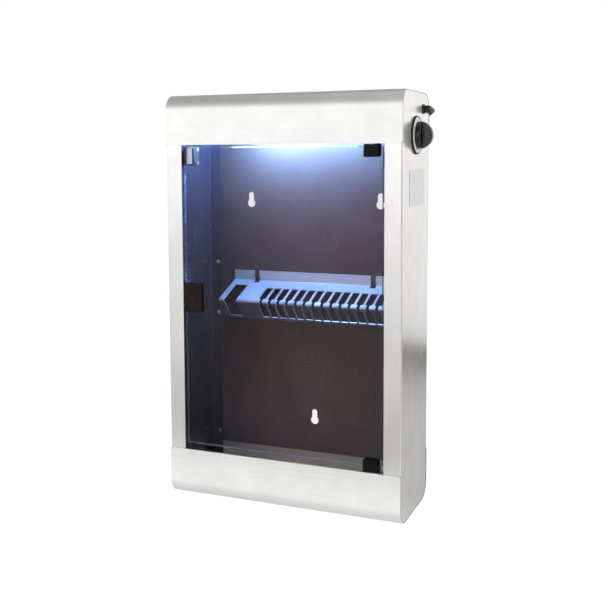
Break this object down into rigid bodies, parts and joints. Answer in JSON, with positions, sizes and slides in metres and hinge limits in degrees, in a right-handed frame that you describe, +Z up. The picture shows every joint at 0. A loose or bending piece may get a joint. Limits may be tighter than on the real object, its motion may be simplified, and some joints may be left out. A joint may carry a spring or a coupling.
{
  "type": "knife sterilizer cabinet",
  "caption": "Wall-hung stainless cabinet with a smoked glass door, slotted knife rack, germicidal lamp, door switch, side timer knob and power cord with plug.",
  "frame": {"origin": "middle of the casing's underside, on the plane it stands on", "axes": "+Z up, +X to the right when facing the glass door, -Y out of the front"},
  "size_m": [0.384, 0.2554, 0.6],
  "materials": {
    "stainless": "satin, lightly brushed",
    "rack_steel": "satin",
    "small_steel": "bright, machined or plated",
    "black_casting": "satin black",
    "clip_metal": "dark bronze black, satin",
    "smoked_glass": "clear, dark violet-brown tint",
    "pad_rubber": "matt",
    "nylon": "matt, natural",
    "catch_plastic": "matt",
    "magnet": "ground poles",
    "switch_plastic": "matt",
    "plunger_plastic": "smooth",
    "timer_plastic": "matt",
    "dial": "silver grey, satin",
    "knob": "semi-gloss black",
    "tray_aluminium": "bright reflector sheet",
    "lamp_glass": "clear quartz-like, violet-blue when lit",
    "lamp_metal": "smooth",
    "white_plastic": "smooth white",
    "ballast_paint": "grey paint",
    "plate": "bare, silver",
    "black_plastic": "matt black",
    "cord_sheath": "smooth black sheath",
    "wire_sheath": "smooth",
    "tie": "matt",
    "plug_metal": "nickel-plated"
  },
  "bodies": {
    "casing": {"back_panel": "stainless", "ballast": "ballast_paint", "bottom_cover": "stainless", "bottom_pivot_bracket": "small_steel", "bottom_pivot_bush": "nylon", "catch_bracket": "small_steel", "catch_case": "catch_plastic", "catch_magnet": "magnet", "catch_screws": "small_steel", "cord_coil": "cord_sheath", "cord_tie": "tie", "earth_stud": "small_steel", "edge_bumper": "pad_rubber", "gear_screws": "small_steel", "lamp_tray": "tray_aluminium", "left_lampholder": "white_plastic", "left_side_panel": "stainless", "lever_pin": "small_steel", "panel_rivets": "small_steel", "plug": "black_plastic", "plug_lead": "cord_sheath", "plug_pins": "plug_metal", "power_cord": "cord_sheath", "relief_nut": "black_plastic", "right_lampholder": "white_plastic", "right_side_panel": "stainless", "side_plate": "plate", "strain_relief": "black_plastic", "supply_lead": "cord_sheath", "switch_body": "switch_plastic", "switch_bracket": "small_steel", "switch_screws": "small_steel", "terminal_block": "white_plastic", "timer_body": "timer_plastic", "timer_dial": "dial", "timer_gasket": "timer_plastic", "timer_screws": "small_steel", "top_cover": "stainless", "top_pivot_bracket": "small_steel", "top_pivot_bush": "nylon", "tray_nuts": "small_steel", "wiring": "wire_sheath"},
    "door": {"door_pane": "smoked_glass", "top_hinge_clamp": "black_casting", "bottom_hinge_clamp": "black_casting", "clamp_pads": "pad_rubber", "clamp_screws": "small_steel", "top_pivot_pin": "small_steel", "bottom_pivot_pin": "small_steel", "strike_clip": "clip_metal", "strike_screw": "small_steel"},
    "rack": {"knife_rack": "rack_steel"},
    "timer_knob": {"timer_knob": "knob", "timer_shaft": "small_steel"},
    "switch_lever": {"switch_lever": "small_steel"},
    "switch_plunger": {"switch_plunger": "plunger_plastic"},
    "lamp": {"lamp_tube": "lamp_glass", "lamp_caps": "lamp_metal"}
  },
  "joints": [
    {"name": "door_hinge", "type": "hinge", "parent": "casing", "child": "door", "pos_m": [0.1415, -0.064, 0.3], "axis": [0, 0, 1], "range_deg": [0, 110]},
    {"name": "rack_lift", "type": "slide", "parent": "casing", "child": "rack", "axis": [0, 0, 1], "range_m": [0, 0.0165]},
    {"name": "timer_turn", "type": "hinge", "parent": "casing", "child": "timer_knob", "pos_m": [0.18, -0.0025, 0.5387], "axis": [-1, 0, 0], "range_deg": [0, 300]},
    {"name": "lever_swing", "type": "hinge", "parent": "casing", "child": "switch_lever", "pos_m": [-0.14605, -0.0597, 0.5235], "axis": [1, 0, 0], "range_deg": [0, 4.8], "stiffness_Nm_per_rad": 0.1, "springref_deg": -5.73},
    {"name": "plunger_press", "type": "slide", "parent": "casing", "child": "switch_plunger", "axis": [0, 1, 0], "range_m": [0, 0.00068]},
    {"name": "lamp_twist", "type": "hinge", "parent": "casing", "child": "lamp", "pos_m": [0, 0.012, 0.552], "axis": [1, 0, 0], "range_deg": [0, 90]}
  ],
  "couplings": [
    {"joint": "plunger_press", "follows": "lever_swing", "m_per_rad": 0.008}
  ]
}
